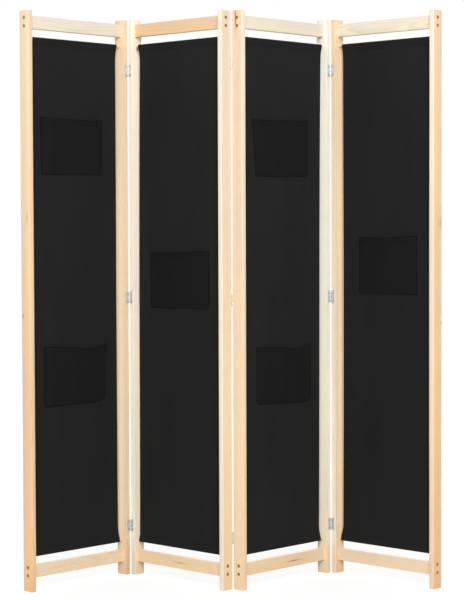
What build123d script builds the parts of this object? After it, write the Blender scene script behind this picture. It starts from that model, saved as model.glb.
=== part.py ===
from build123d import *
from math import cos, pi, radians, sin
import os

# Folding room divider screen: four pine frames joined in a zigzag by surface hinges. Each
# frame carries a cloth stretched between two rods, with patch pockets sewn to its front.
# Millimetres, +Z up. The feet stand on Z = 0, the front faces -Y, and X runs to the right.
# Panels are numbered 1 to 4 from the left, as seen from the front.

# ---------------------------------------------------------------- driving dimensions
panel_height = 1700.0
panel_width = 400.0
panel_count = 4
standing_angle = 88.0        # between neighbouring panels, as the screen stands

stile_thickness = 16.0       # across the panel
stile_depth = 38.0           # front to back
rail_thickness = 16.0        # front to back
rail_height = 38.0
foot_height = 40.0           # floor to the bottom rail
horn_height = 14.0           # top rail to the top of the stiles
board_chamfer = 1.0          # broken edges of every board

rod_diameter = 8.0
rod_hole_depth = 8.0         # blind holes in the stiles that hold the rod ends
rod_end_gap = 0.5            # rod end to the bottom of its hole
rod_clearance = 0.1

cloth_thickness = 0.8
cloth_to_rail_gap = 22.0     # rail to the edge of the hem
hem_to_stile_gap = 4.0       # hem end to the inner face of the stile
cloth_pull_in = 9.5          # how far the free side edges draw in between the hems
flare_height = 30.0          # seam to where the side edges have drawn in
hem_clearance = 0.3          # rod to the inside of its hem
hem_depth = 18.0             # rod axis to the hem's seam

pocket_width = 244.0
pocket_height = 168.0
pocket_slack = 6.6           # room between the pocket's front and the cloth
pocket_thickness = 0.8
pocket_side_slope = 45.0     # slope of the gathered sides, in degrees
pocket_corner_radius = 14.0  # on the two low pockets with rounded corners

hinge_height = 38.0
hinge_end_inset = 153.0      # outer hinges, from the ends of the panel to their middle
middle_hinge_height = 855.0
leaf_reach = 11.0            # pin axis to the leaf's free edge
leaf_thickness = 1.0
pin_radius = 1.15
pin_clearance = 0.05
knuckle_count = 3
knuckle_gap = 0.15
swing_clearance = 0.3        # knuckle to the cut-back edge of the other leaf
side_gap = 0.75              # pin axis to the side of each stile

hinge_screw_radius = 1.3
hinge_screw_length = 12.0
hinge_screw_head_radius = 2.5
hinge_screw_head_height = 0.7
hinge_screw_spacing = 24.0
hinge_screw_reach = 7.2      # pin axis to the screw

frame_screw_radius = 1.9
frame_screw_length = 46.0
frame_screw_head_radius = 3.7
frame_screw_head_height = 2.2
frame_screw_spacing = 24.0
frame_screw_recess = 3.4     # face of the stile to the seat of the screw's head
recess_radius = 4.2
screw_clearance = 0.1        # round a screw's shank

# The hinge pins are true rounds. The many other small rounds are drawn as regular polygons,
# to keep the model light: a piece has its corners on its true radius, and the hole that it
# sits in is the same polygon a clearance larger, or has its flats clear of that radius.
knuckle_sides = 12           # knuckles of the hinges and the outside of the hems
rod_sides = 8                # rods, their holes, and the recesses of the frame screws
screw_sides = 6              # screws and the holes of their shanks

# Each panel's pockets: name, shift to the right of the panel's middle, top of the panel to
# the middle of the pocket, corner radius
pockets = {
    1: (
        ("upper_pocket", -14.0, 392.0, 0.0),
        ("lower_pocket", -4.0, 1072.0, pocket_corner_radius),
    ),
    2: (("pocket", 4.0, 790.0, 0.0),),
    3: (
        ("upper_pocket", -5.0, 396.0, 0.0),
        ("lower_pocket", 4.0, 1075.0, pocket_corner_radius),
    ),
    4: (("pocket", 10.0, 749.0, 0.0),),
}

# ---------------------------------------------------------------- derived places
knuckle_radius = pin_radius + pin_clearance + leaf_thickness
inner_half_width = panel_width / 2 - stile_thickness
bottom_rail_middle = foot_height + rail_height / 2
top_rail_middle = panel_height - horn_height - rail_height / 2
cloth_bottom = foot_height + rail_height + cloth_to_rail_gap
cloth_top = panel_height - horn_height - rail_height - cloth_to_rail_gap
hem_radius = (rod_diameter / 2 + hem_clearance) / cos(pi / rod_sides) + cloth_thickness
bottom_rod_height = cloth_bottom + hem_radius
top_rod_height = cloth_top - hem_radius
bottom_seam_height = bottom_rod_height + hem_depth
top_seam_height = top_rod_height - hem_depth
hem_half_width = inner_half_width - hem_to_stile_gap
cloth_half_width = hem_half_width - cloth_pull_in
hinge_heights = (hinge_end_inset, middle_hinge_height, panel_height - hinge_end_inset)
panel_numbers = range(1, panel_count + 1)
LEFT, RIGHT = -1, 1
FRONT, BACK = -1, 1


def panel_direction(number):
    """Unit vector along a panel, left to right: odd panels run back, even ones forward."""
    turn = radians((180 - standing_angle) / 2)
    return Vector(cos(turn), sin(turn) if number % 2 else -sin(turn), 0)


def hinge_face(joint):
    """The hinges sit on the front where the screen folds forward, and on the back between."""
    return FRONT if joint % 2 else BACK


def lay_out_panels():
    """Panel frames and pin axes in plan. A panel's frame has its origin at the panel's
    middle on the floor, x along the panel, y to its back and z up. Each pin stands a
    knuckle's radius off the faces and a side gap from the stiles of both its panels."""
    middles = {}
    pins = {}
    corners = []
    pin = Vector(0, 0, 0)
    for number in panel_numbers:
        along = panel_direction(number)
        back = along.rotate(Axis.Z, 90)
        reach = along * (panel_width / 2 + side_gap)
        offset = back * (stile_depth / 2 + knuckle_radius)
        middle = pin + reach - offset * hinge_face(number - 1)
        pin = middle + reach + offset * hinge_face(number)
        middles[number] = middle
        pins[number] = pin
        half_width = along * (panel_width / 2)
        half_depth = back * (stile_depth / 2)
        corners += [middle + half_width * i + half_depth * j for i in (-1, 1) for j in (-1, 1)]
    centre = Vector(
        (min(c.X for c in corners) + max(c.X for c in corners)) / 2,
        (min(c.Y for c in corners) + max(c.Y for c in corners)) / 2,
        0,
    )
    frames = {
        number: Plane(origin=middle - centre, x_dir=panel_direction(number), z_dir=(0, 0, 1))
        for number, middle in middles.items()
    }
    pins = {number: pins[number] - centre for number in panel_numbers if number < panel_count}
    return frames, pins


panels, pins = lay_out_panels()


def level_plane(number, across, up):
    """Horizontal plane in the middle of the panel's depth, its x along the panel."""
    origin = panels[number].from_local_coords((across, 0, up))
    return Plane(origin=origin, x_dir=panels[number].x_dir, z_dir=(0, 0, 1))


def front_plane(number, forward=0.0):
    """Upright plane at the panel's foot that faces its front: x along the panel, y up."""
    panel = panels[number]
    origin = panel.from_local_coords((0, -forward, 0))
    return Plane(origin=origin, x_dir=panel.x_dir, z_dir=-panel.y_dir)


def side_plane(number, across, up, facing):
    """Upright plane across the panel that faces left or right: x up, its origin in the
    middle of the panel's depth."""
    panel = panels[number]
    origin = panel.from_local_coords((across, 0, up))
    return Plane(origin=origin, x_dir=(0, 0, 1), z_dir=panel.x_dir * facing)


def panel_sides(joint):
    """The panels that meet at a joint, and the side of each that holds its hinges."""
    return ((joint, RIGHT), (joint + 1, LEFT))


def hinge_planes(joint, number, side):
    """Planes at the middle of each hinge, on the pin's axis: x runs into the panel, y away
    from the face that the leaf lies on."""
    panel = panels[number]
    inward = panel.x_dir * -side
    outward = panel.y_dir * hinge_face(joint)
    return [
        Plane(origin=(pins[joint].X, pins[joint].Y, height), x_dir=inward, z_dir=inward.cross(outward))
        for height in hinge_heights
    ]


def hinge_screw_planes(joint, number, side, lift):
    """Planes at the hinge screws, facing out, a lift above the stile's face."""
    return [
        Plane(
            origin=hinge.from_local_coords((hinge_screw_reach, lift - knuckle_radius, step)),
            x_dir=hinge.z_dir,
            z_dir=hinge.y_dir,
        )
        for hinge in hinge_planes(joint, number, side)
        for step in (-hinge_screw_spacing / 2, hinge_screw_spacing / 2)
    ]


def frame_screw_planes(number, side, depth):
    """Planes at the four frame screws of a stile, facing out, at a depth below its face."""
    across = side * (panel_width / 2 - depth)
    return [
        side_plane(number, across, middle + step, side)
        for middle in (bottom_rail_middle, top_rail_middle)
        for step in (-frame_screw_spacing / 2, frame_screw_spacing / 2)
    ]


def joints_on(number, side):
    """The joints whose hinges are screwed to this side of the panel."""
    return [joint for joint in pins if (number, side) in panel_sides(joint)]


def save(name, piece):
    """Label a finished piece and write its STEP file under the same name."""
    piece.part.label = name
    export_step(piece.part, f"parts/{name}.step")


os.makedirs("parts", exist_ok=True)

# ---------------------------------------------------------------- stiles
# A board on edge: its narrow face shows from the front. The outer face has recessed holes
# for the frame screws, the inner face blind holes for the rods, and the face that carries
# hinges has pilot holes.
for number in panel_numbers:
    for side in (LEFT, RIGHT):
        stile_middle = side * (panel_width - stile_thickness) / 2
        inner_face = side * inner_half_width
        rod_planes = [
            side_plane(number, inner_face, height, -side)
            for height in (bottom_rod_height, top_rod_height)
        ]
        pilot_planes = [
            plane
            for joint in joints_on(number, side)
            for plane in hinge_screw_planes(joint, number, side, 0)
        ]
        with BuildPart() as stile:
            with BuildSketch(level_plane(number, stile_middle, 0)):
                Rectangle(stile_thickness, stile_depth)
            extrude(amount=panel_height)
            chamfer(stile.edges(), board_chamfer)
            with BuildSketch(*frame_screw_planes(number, side, 0)):
                RegularPolygon(recess_radius, rod_sides)
            extrude(amount=-frame_screw_recess, mode=Mode.SUBTRACT)
            with BuildSketch(*frame_screw_planes(number, side, frame_screw_recess)):
                RegularPolygon(frame_screw_radius + screw_clearance, screw_sides)
            extrude(amount=frame_screw_recess - stile_thickness, mode=Mode.SUBTRACT)
            with BuildSketch(*rod_planes):
                RegularPolygon(rod_diameter / 2 + rod_clearance, rod_sides, major_radius=False)
            extrude(amount=-rod_hole_depth, mode=Mode.SUBTRACT)
            if pilot_planes:
                with BuildSketch(*pilot_planes):
                    RegularPolygon(hinge_screw_radius + screw_clearance, screw_sides)
                extrude(amount=-hinge_screw_length, mode=Mode.SUBTRACT)
        save(f"panel_{number}_{'left' if side == LEFT else 'right'}_stile", stile)

# ---------------------------------------------------------------- rails
# Boards between the stiles, centred in their depth, with pilot holes in the end grain.
for number in panel_numbers:
    for place, middle in (("bottom", bottom_rail_middle), ("top", top_rail_middle)):
        screw_depth = frame_screw_recess + frame_screw_length - stile_thickness + screw_clearance
        pilot_planes = [
            side_plane(number, side * inner_half_width, middle + step, side)
            for side in (LEFT, RIGHT)
            for step in (-frame_screw_spacing / 2, frame_screw_spacing / 2)
        ]
        with BuildPart() as rail:
            with BuildSketch(side_plane(number, -inner_half_width, middle, RIGHT)):
                Rectangle(rail_height, rail_thickness)
            extrude(amount=2 * inner_half_width)
            chamfer(rail.edges().group_by(Edge.length)[-1], board_chamfer)
            with BuildSketch(*pilot_planes):
                RegularPolygon(frame_screw_radius + screw_clearance, screw_sides)
            extrude(amount=-screw_depth, mode=Mode.SUBTRACT)
        save(f"panel_{number}_{place}_rail", rail)

# ---------------------------------------------------------------- frame screws
# One pan-head screw with its seat at the origin, then eight of them in each frame.
with BuildPart() as frame_screw:
    with BuildSketch(Plane.XY):
        RegularPolygon(frame_screw_head_radius, screw_sides)
    extrude(amount=frame_screw_head_height)
    with BuildSketch(Plane.XY):
        RegularPolygon(frame_screw_radius, screw_sides)
    extrude(amount=-frame_screw_length)

for number in panel_numbers:
    screw_planes = [
        plane
        for side in (LEFT, RIGHT)
        for plane in frame_screw_planes(number, side, frame_screw_recess)
    ]
    with BuildPart() as frame_screws:
        with Locations(*screw_planes):
            add(frame_screw.part)
    save(f"panel_{number}_frame_screws", frame_screws)

# ---------------------------------------------------------------- rods
for number in panel_numbers:
    for place, height in (("bottom", bottom_rod_height), ("top", top_rod_height)):
        half_length = inner_half_width + rod_hole_depth - rod_end_gap
        with BuildPart() as rod:
            with BuildSketch(side_plane(number, -half_length, height, RIGHT)):
                RegularPolygon(rod_diameter / 2, rod_sides)
            extrude(amount=2 * half_length)
        save(f"panel_{number}_{place}_rod", rod)


# ---------------------------------------------------------------- cloths and hems
for number in panel_numbers:
    # The stretched cloth between the seams of its two hems: its free side edges draw in
    # along arcs that meet the straight part tangentially.
    with BuildPart() as cloth:
        with BuildSketch(front_plane(number, -cloth_thickness / 2)):
            with BuildLine():
                for side in (LEFT, RIGHT):
                    low = (side * cloth_half_width, bottom_seam_height + flare_height)
                    high = (side * cloth_half_width, top_seam_height - flare_height)
                    Line(low, high)
                    TangentArc(low, (side * hem_half_width, bottom_seam_height), tangent=(0, -1))
                    TangentArc(high, (side * hem_half_width, top_seam_height), tangent=(0, 1))
                for height in (bottom_seam_height, top_seam_height):
                    Line((-hem_half_width, height), (hem_half_width, height))
            make_face()
        extrude(amount=cloth_thickness)
    save(f"panel_{number}_cloth", cloth)

    # Both hems: the cloth goes round the rod and back on itself to the seam
    with BuildPart() as hems:
        for height, towards_seam in ((bottom_rod_height, 1), (top_rod_height, -1)):
            with BuildSketch(side_plane(number, -hem_half_width, height, RIGHT)):
                RegularPolygon(hem_radius, knuckle_sides)
                with Locations((towards_seam * (hem_depth - cloth_thickness), 0)):
                    Rectangle(2 * cloth_thickness, 2 * cloth_thickness)
                make_hull()
                RegularPolygon(
                    rod_diameter / 2 + hem_clearance,
                    rod_sides,
                    major_radius=False,
                    mode=Mode.SUBTRACT,
                )
            extrude(amount=2 * hem_half_width)
    save(f"panel_{number}_hems", hems)

# ---------------------------------------------------------------- pockets
# A patch sewn to the cloth along its sides and bottom, slack in front and open at the top.
wall_foot = pocket_thickness / sin(radians(pocket_side_slope))
layers = (
    (0, pocket_slack + pocket_thickness, Mode.ADD),
    (wall_foot, pocket_slack, Mode.SUBTRACT),
)
for number in panel_numbers:
    for name, shift, from_top, corner_radius in pockets[number]:
        mouth_height = panel_height - from_top + pocket_height / 2
        with BuildPart() as pocket:
            for inset, depth, mode in layers:
                overrun = 2 * depth
                with BuildSketch(front_plane(number, cloth_thickness / 2)) as patch:
                    with Locations((shift, mouth_height + overrun)):
                        Rectangle(
                            pocket_width - 2 * inset,
                            pocket_height + overrun - inset,
                            align=(Align.CENTER, Align.MAX),
                        )
                    if corner_radius:
                        low_corners = patch.vertices().sort_by(Axis.Z)[:2]
                        fillet(low_corners, corner_radius - inset)
                extrude(amount=depth, taper=pocket_side_slope, mode=mode)
            split(bisect_by=level_plane(number, 0, mouth_height), keep=Keep.BOTTOM)
        save(f"panel_{number}_{name}", pocket)

# ---------------------------------------------------------------- hinges
# Small butt hinges with rolled knuckles. In each leaf's own frame the pin is the z axis,
# x runs along the leaf and y points away from the stile's face, which lies at
# y = -knuckle_radius. The leaf with more knuckles also holds the pin.
knuckle_pitch = hinge_height / knuckle_count
plate_start = knuckle_radius + swing_clearance


def make_leaf(first_knuckle):
    """Leaf whose own knuckles are every second one, counted from the bottom."""
    with BuildPart() as leaf:
        with BuildSketch(Plane.XY.offset(-hinge_height / 2)):
            with Locations((plate_start, -knuckle_radius)):
                Rectangle(leaf_reach - plate_start, leaf_thickness, align=Align.MIN)
        extrude(amount=hinge_height)
        for knuckle in range(first_knuckle, knuckle_count, 2):
            start = knuckle * knuckle_pitch + knuckle_gap / 2 - hinge_height / 2
            with BuildSketch(Plane.XY.offset(start)):
                RegularPolygon(knuckle_radius, knuckle_sides)
                with Locations((0, -knuckle_radius)):
                    Rectangle(plate_start, leaf_thickness, align=Align.MIN)
                RegularPolygon(
                    pin_radius + pin_clearance,
                    knuckle_sides,
                    major_radius=False,
                    mode=Mode.SUBTRACT,
                )
            extrude(amount=knuckle_pitch - knuckle_gap)
        with BuildSketch(Plane.XZ.offset(knuckle_radius)):
            with GridLocations(0, hinge_screw_spacing, 1, 2), Locations((hinge_screw_reach, 0)):
                RegularPolygon(
                    hinge_screw_radius + screw_clearance,
                    screw_sides,
                    major_radius=False,
                )
        extrude(amount=-leaf_thickness, mode=Mode.SUBTRACT)
    return leaf


pin_holding_leaf = make_leaf(0)
turning_leaf = make_leaf(1)

with BuildPart() as hinge_pin:
    with BuildSketch(Plane.XY.offset(-hinge_height / 2)):
        Circle(pin_radius)
    extrude(amount=hinge_height)

# Pan-head screw with its seat, the leaf's top, at the origin
with BuildPart() as hinge_screw:
    with BuildSketch(Plane.XY):
        RegularPolygon(hinge_screw_head_radius, screw_sides)
    extrude(amount=hinge_screw_head_height)
    with BuildSketch(Plane.XY):
        RegularPolygon(hinge_screw_radius, screw_sides)
    extrude(amount=-hinge_screw_length)

for joint in pins:
    joint_name = f"joint_{joint}_{joint + 1}"
    for leaf, (number, side) in zip((pin_holding_leaf, turning_leaf), panel_sides(joint)):
        with BuildPart() as leaves:
            with Locations(*hinge_planes(joint, number, side)):
                add(leaf.part)
        save(f"{joint_name}_leaves_on_panel_{number}", leaves)

    with BuildPart() as hinge_pins:
        with Locations(*hinge_planes(joint, joint, RIGHT)):
            add(hinge_pin.part)
    save(f"{joint_name}_hinge_pins", hinge_pins)

for number in panel_numbers:
    screw_planes = [
        plane
        for side in (LEFT, RIGHT)
        for joint in joints_on(number, side)
        for plane in hinge_screw_planes(joint, number, side, leaf_thickness)
    ]
    with BuildPart() as hinge_screws:
        with Locations(*screw_planes):
            add(hinge_screw.part)
    save(f"panel_{number}_hinge_screws", hinge_screws)

for joint, pin in pins.items():
    print(f"pin of joint {joint}-{joint + 1}: x {pin.X:.4f}, y {pin.Y:.4f}")
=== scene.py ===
# %% [markdown]
# # A folding screen with cloth panels
# Four upright pine frames stand in a zigzag. Each one carries a black cloth between two round
# rods, and patch pockets are sewn to the cloths. This lesson dresses the measured model of the
# screen: every piece is worked out with numpy, as whole arrays of points, and finished with
# materials made of nodes. First comes the frame that everything is placed in.

from math import acos, atan2, cos, degrees, pi, radians, sin

import bpy
import numpy as np
from mathutils import Matrix, Vector


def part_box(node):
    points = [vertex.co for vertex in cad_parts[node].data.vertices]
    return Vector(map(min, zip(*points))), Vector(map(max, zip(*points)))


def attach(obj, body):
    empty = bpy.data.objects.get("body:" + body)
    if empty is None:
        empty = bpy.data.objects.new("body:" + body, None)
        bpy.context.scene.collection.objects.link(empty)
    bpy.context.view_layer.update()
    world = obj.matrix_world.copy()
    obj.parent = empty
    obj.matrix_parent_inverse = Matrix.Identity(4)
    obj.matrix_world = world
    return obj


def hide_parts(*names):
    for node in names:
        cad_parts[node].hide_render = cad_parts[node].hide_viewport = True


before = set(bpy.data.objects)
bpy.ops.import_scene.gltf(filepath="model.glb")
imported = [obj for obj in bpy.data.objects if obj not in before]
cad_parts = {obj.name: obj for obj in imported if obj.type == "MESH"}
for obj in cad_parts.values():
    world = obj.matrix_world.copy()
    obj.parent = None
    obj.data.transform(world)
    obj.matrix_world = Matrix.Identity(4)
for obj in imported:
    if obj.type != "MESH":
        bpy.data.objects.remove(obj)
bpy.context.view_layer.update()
mm = 0.001
PANELS = (1, 2, 3, 4)

# %% [markdown]
# ## Panel coordinates
# Every panel is the same flat thing, turned one way or the other. So a piece is worked out as
# it lies on its own panel: x runs along the panel from left to right, y goes to its back and z
# goes up. A small function then carries such points to where the panel stands. Turning finished
# objects would leave them with a place that has to be applied later.

# %% Carry points from a panel to the world
def middle_of(node):
    """Middle of a node's box."""
    return np.mean(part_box(node), axis=0)


def panel_frame(number):
    """Origin and axes of a panel: the origin lies on the floor, halfway between the middles of
    its two stiles, x points from the left stile to the right one, z is up, and y is z cross x."""
    left = middle_of(f"panel_{number}_left_stile")
    right = middle_of(f"panel_{number}_right_stile")
    along = (right - left) * (1, 1, 0)
    along /= np.linalg.norm(along)
    up = np.array((0.0, 0.0, 1.0))
    return (left + right) / 2 * (1, 1, 0), np.array((along, np.cross(up, along), up))


panel_frames = {number: panel_frame(number) for number in PANELS}


def on_panel(number, points):
    """World points from panel points: the origin plus x, y and z times the panel's axes."""
    origin, axes = panel_frames[number]
    return origin + np.asarray(points) @ axes


def vertices_of(mesh):
    """Places of a mesh's vertices, one row each."""
    points = np.empty(len(mesh.vertices) * 3)
    mesh.vertices.foreach_get("co", points)
    return points.reshape(-1, 3)


def panel_box(number, node):
    """Lowest and highest corner of a node, in the coordinates of its panel."""
    origin, axes = panel_frames[number]
    points = (vertices_of(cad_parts[node].data) - origin) @ axes.T
    return points.min(axis=0), points.max(axis=0)


def middle_on(number, piece):
    """Middle of a piece's box, in the coordinates of its panel."""
    return np.mean(panel_box(number, f"panel_{number}_{piece}"), axis=0)


def put_in_scene(name, data):
    """A new object that shows the data."""
    made = bpy.data.objects.new(name, data)
    bpy.context.scene.collection.objects.link(made)
    return made


turns = {number: atan2(axes[0, 1], axes[0, 0]) for number, (_, axes) in panel_frames.items()}
print("panels turned by", {number: round(degrees(turn), 2) for number, turn in turns.items()})

# %% [markdown]
# ## The camera
# A long lens far away keeps upright lines nearly upright. The place, the direction and the
# focal length come from fitting the straight lines of the frames. A camera looks along its own
# -Z, so its rotation is built from the three directions right, up and backwards.

# %% Camera
def look_from(place, yaw, pitch, roll):
    """Camera matrix. Forward is turned right by yaw from +Y and up by pitch; right is level and
    square to it; up is their cross product; roll then turns right and up about forward."""
    forward = Vector((sin(yaw) * cos(pitch), cos(yaw) * cos(pitch), sin(pitch)))
    right = Vector((cos(yaw), -sin(yaw), 0))
    up = right.cross(forward)
    right, up = cos(roll) * right + sin(roll) * up, cos(roll) * up - sin(roll) * right
    matrix = Matrix((right, up, -forward)).transposed().to_4x4()
    matrix.translation = place
    return matrix


lens = bpy.data.cameras.new("camera")
lens.lens = 115.06
lens.sensor_width = 36.0
camera = put_in_scene("camera", lens)
camera.matrix_world = look_from(
    (-0.13203, -5.75384, 1.07302), radians(1.341), radians(-2.222), radians(-0.199)
)
bpy.context.scene.camera = camera
print("camera at", tuple(round(v, 3) for v in camera.location), "with a", lens.lens, "mm lens")

# %% [markdown]
# ## Small helpers for materials
# A material is a tree of nodes. These helpers keep the recipes readable: each adds a node,
# sets or connects its inputs and hands back its result, all in one line.

# %% Material helpers
def add(tree, kind, inputs=None, **settings):
    """Adds a node. Each input gets a number or colour, or a link from another node's socket."""
    node = tree.nodes.new("ShaderNode" + kind)
    for key, value in settings.items():
        setattr(node, key, value)
    for key, value in (inputs or {}).items():
        if isinstance(value, bpy.types.NodeSocket):
            tree.links.new(value, node.inputs[key])
        else:
            node.inputs[key].default_value = value
    return node


def maths(tree, operation, *values):
    """The result of one arithmetic step on numbers or sockets."""
    return add(tree, "Math", dict(enumerate(values)), operation=operation).outputs[0]


def vector(tree, operation, *values):
    """The result of one arithmetic step on whole vectors."""
    return add(tree, "VectorMath", dict(enumerate(values)), operation=operation).outputs[0]


def ramp(tree, value, *stops, smooth=False):
    """A colour or grey looked up at value, between (position, colour) stops."""
    node = add(tree, "ValToRGB", {0: value})
    node.color_ramp.interpolation = "EASE" if smooth else "LINEAR"
    elements = node.color_ramp.elements
    for position, colour in stops[1:-1]:
        elements.new(position)
    for element, (position, colour) in zip(elements, stops):
        element.position = position
        element.color = (*colour, 1) if hasattr(colour, "__len__") else (colour,) * 3 + (1,)
    return node.outputs[0]


def mixed(tree, share, first, second, blend="MIX"):
    """Two colours mixed by share, or combined in another blend mode."""
    node = add(tree, "Mix", {0: share}, data_type="RGBA", blend_type=blend)
    for socket, value in ((node.inputs[6], first), (node.inputs[7], second)):
        if isinstance(value, bpy.types.NodeSocket):
            tree.links.new(value, socket)
        else:
            socket.default_value = (*value, 1)
    return node.outputs[2]


def tinted(tree, colour, tint):
    """A colour times another one."""
    return mixed(tree, 1.0, colour, tint, "MULTIPLY")


def away_from(tree, point, centre, radii=(1, 1, 1)):
    """Distance of a point from a centre, counted in radii along each axis."""
    counted = vector(tree, "DIVIDE", vector(tree, "SUBTRACT", point, centre), radii)
    return add(tree, "VectorMath", {0: counted}, operation="LENGTH").outputs["Value"]


def start_material(name, **sockets):
    """A new material with the shader's own sockets set: returns it, its tree and shader."""
    material = bpy.data.materials.new(name)
    material.use_nodes = True
    tree = material.node_tree
    shader = next(n for n in tree.nodes if n.type == "BSDF_PRINCIPLED")
    for key, value in sockets.items():
        shader.inputs[key.replace("_", " ")].default_value = value
    return material, tree, shader


def finish_material(tree, shader, colour, height, strength, distance, roughness=None):
    """Connects what a recipe gives: its colour, its height as a bump and its roughness."""
    bump = add(tree, "Bump", {"Height": height, "Strength": strength, "Distance": distance})
    results = {"Base Color": colour, "Normal": bump.outputs[0], "Roughness": roughness}
    for key, value in results.items():
        if value is not None:
            tree.links.new(value, shader.inputs[key])


print("material helpers ready")

# %% [markdown]
# ## Studio: floor, world and lamps
# The screen stands on a plain pale floor in soft light. One wide lamp high in front lights both
# sets of panels alike, and a weaker one behind keeps the back readable. More light would wash
# out the pale wood, so the white comes from Light Path instead: what the camera and reflections
# see of the floor and the world is set apart. The floor still darkens softly in the shade.

# %% Floor
def seen_directly(tree):
    """1 for rays from the camera, from gloss and through glass, 0 for the light that bounces."""
    path = add(tree, "LightPath").outputs
    either = maths(tree, "MAXIMUM", path["Is Camera Ray"], path["Is Glossy Ray"])
    return maths(tree, "MAXIMUM", either, path["Is Transmission Ray"])


FLOOR_SIZE = 60.0
corners = np.array(((-1, -1, 0), (1, -1, 0), (1, 1, 0), (-1, 1, 0))) * FLOOR_SIZE / 2
floor_mesh = bpy.data.meshes.new("floor")
floor_mesh.from_pydata(corners, [], [(0, 1, 2, 3)])
floor = put_in_scene("floor", floor_mesh)

floor_material, tree, shader = start_material(
    "pale floor", Base_Color=(0.62, 0.62, 0.62, 1), Roughness=1.0, Specular_IOR_Level=0.0
)
shade = add(tree, "BsdfDiffuse", {"Color": (0.2, 0.2, 0.2, 1)}).outputs[0]
place = add(tree, "TexCoord").outputs["Object"]
away = away_from(tree, place, (0, 0, 0), (10, 10, 10))  # 1 at ten metres
level = ramp(tree, away, (0.25, 0.83), (0.7, 0.905), smooth=True)
glow = add(tree, "Emission", {"Color": level, "Strength": 1.0}).outputs[0]
white = add(tree, "AddShader", {0: shade, 1: glow}).outputs[0]
chosen = add(tree, "MixShader", {0: seen_directly(tree), 1: shader.outputs[0], 2: white})
output = next(n for n in tree.nodes if n.type == "OUTPUT_MATERIAL")
tree.links.new(chosen.outputs[0], output.inputs["Surface"])
floor_mesh.materials.append(floor_material)
print("floor", FLOOR_SIZE, "m wide")

# %% World and lamps
world = bpy.data.worlds.new("studio")
world.use_nodes = True
bpy.context.scene.world = world
tree = world.node_tree
tree.nodes.clear()
ambient = add(tree, "Background", {"Color": (1, 1, 1, 1), "Strength": 0.5}).outputs[0]
backdrop = add(tree, "Background", {"Color": (1, 1, 1, 1), "Strength": 1.0}).outputs[0]
chosen = add(tree, "MixShader", {0: seen_directly(tree), 1: ambient, 2: backdrop}).outputs[0]
add(tree, "OutputWorld", {"Surface": chosen})


def lamp(name, place, aim, size, power):
    """A square area lamp whose -Z points from its place to its aim."""
    light = bpy.data.lights.new(name, "AREA")
    light.size = size
    light.energy = power
    lamp_object = put_in_scene(name, light)
    lamp_object.location = place
    lamp_object.rotation_euler = (Vector(aim) - Vector(place)).to_track_quat("-Z", "Y").to_euler()


lamp("lamp in front", (0.2, -4.9, 3.3), (0, 0, 1.0), 2.6, 272)
lamp("lamp behind", (0.3, 4.6, 2.8), (0, 0, 0.9), 2.6, 130)

bpy.context.scene.view_settings.view_transform = "Standard"
print(len(bpy.data.lights), "lamps round the screen")

# %% [markdown]
# ## Pine
# A board is a slice of a trunk, and its figure comes from where it was cut. So the recipe starts
# with the trunk: growth rings are cylinders round a pith that lies some centimetres outside the
# board, bent a little along its length. Each ring climbs slowly from pale early wood to darker
# late wood and drops back sharply. An image of wood would have to be wrapped and would repeat;
# rings in space meet properly at every corner and show as arcs on the sawn ends. Fibres, a slow
# change of tone and a few knots are added on top. Each board gets a material of its own.

# %% Colours and tones of the wood
EARLY_WOOD = np.array((0.88, 0.715, 0.505))
LATE_WOOD = np.array((0.75, 0.505, 0.295))
KNOT_HEART = (0.30, 0.13, 0.055)
KNOT_HALO = (0.62, 0.33, 0.17)
# Painted shade in and round the recesses of the frame screws
RECESS_SHADE = (0.36, 0.215, 0.08)
# Painted shade at the feet of the stiles that stand in a valley
FOOT_SHADE = (0.87, 0.79, 0.73)
RING_WIDTH = 2.9 * mm
# Reach of the painted shade round a screw recess
RECESS_SHADE_REACH = 6.6 * mm


def stretched_noise(tree, point, counts, seed, detail=2.0):
    """Noise from 0 to 1 with about counts swells per metre along each axis."""
    scaled = vector(tree, "MULTIPLY", point, counts)
    shifted = vector(tree, "ADD", scaled, (seed, 2.3 * seed, 3.7 * seed))
    inputs = {"Vector": shifted, "Scale": 1.0, "Detail": detail}
    return add(tree, "TexNoise", inputs).outputs


def tone_and_painted_light(tree, place, tones_and_light, shaded_foot):
    """Tone of a board at a place: four colours, foot and head of the sides and foot and head of the
    front face, mixed by height over 1.4 m and by nearness to the front face. Each board's own tint
    is in them, and so is painted light: the deeper, warmer tone towards the foot and the step
    between the front face and the sides. Towards the back face, 20 mm from the middle like the
    front one, all of them fade to the plain wood. A shaded foot gets painted shade, which comes in
    at 0.71 m and is full at 0.81 m below the board's middle."""
    _, deep, height = add(tree, "SeparateXYZ", {0: place}).outputs
    share = maths(tree, "MULTIPLY_ADD", height, 1 / 1.4, 0.5)
    # Painted light: the sides and the front face each get their own foot and head colours
    side, front = (ramp(tree, share, (0, foot), (1, head)) for foot, head in (tones_and_light[:2], tones_and_light[2:]))
    at_front = ramp(tree, maths(tree, "DIVIDE", deep, -20 * mm), (0.88, 0), (0.94, 1))
    at_back = ramp(tree, maths(tree, "DIVIDE", deep, 20 * mm), (0.3, 0), (0.9, 0.6), smooth=True)
    tone = mixed(tree, at_back, mixed(tree, at_front, side, front), (1, 1, 1))
    # Painted shade: the foot of a stile in a valley darkens towards the floor
    if shaded_foot:
        below = maths(tree, "MULTIPLY_ADD", height, -10, -7.1)
        low = ramp(tree, below, (0, 0), (1, 1), smooth=True)
        tone = mixed(tree, low, tone, FOOT_SHADE, "MULTIPLY")
    return tone


print("late wood is", np.round(LATE_WOOD / EARLY_WOOD, 2), "times as bright as early wood")

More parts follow.
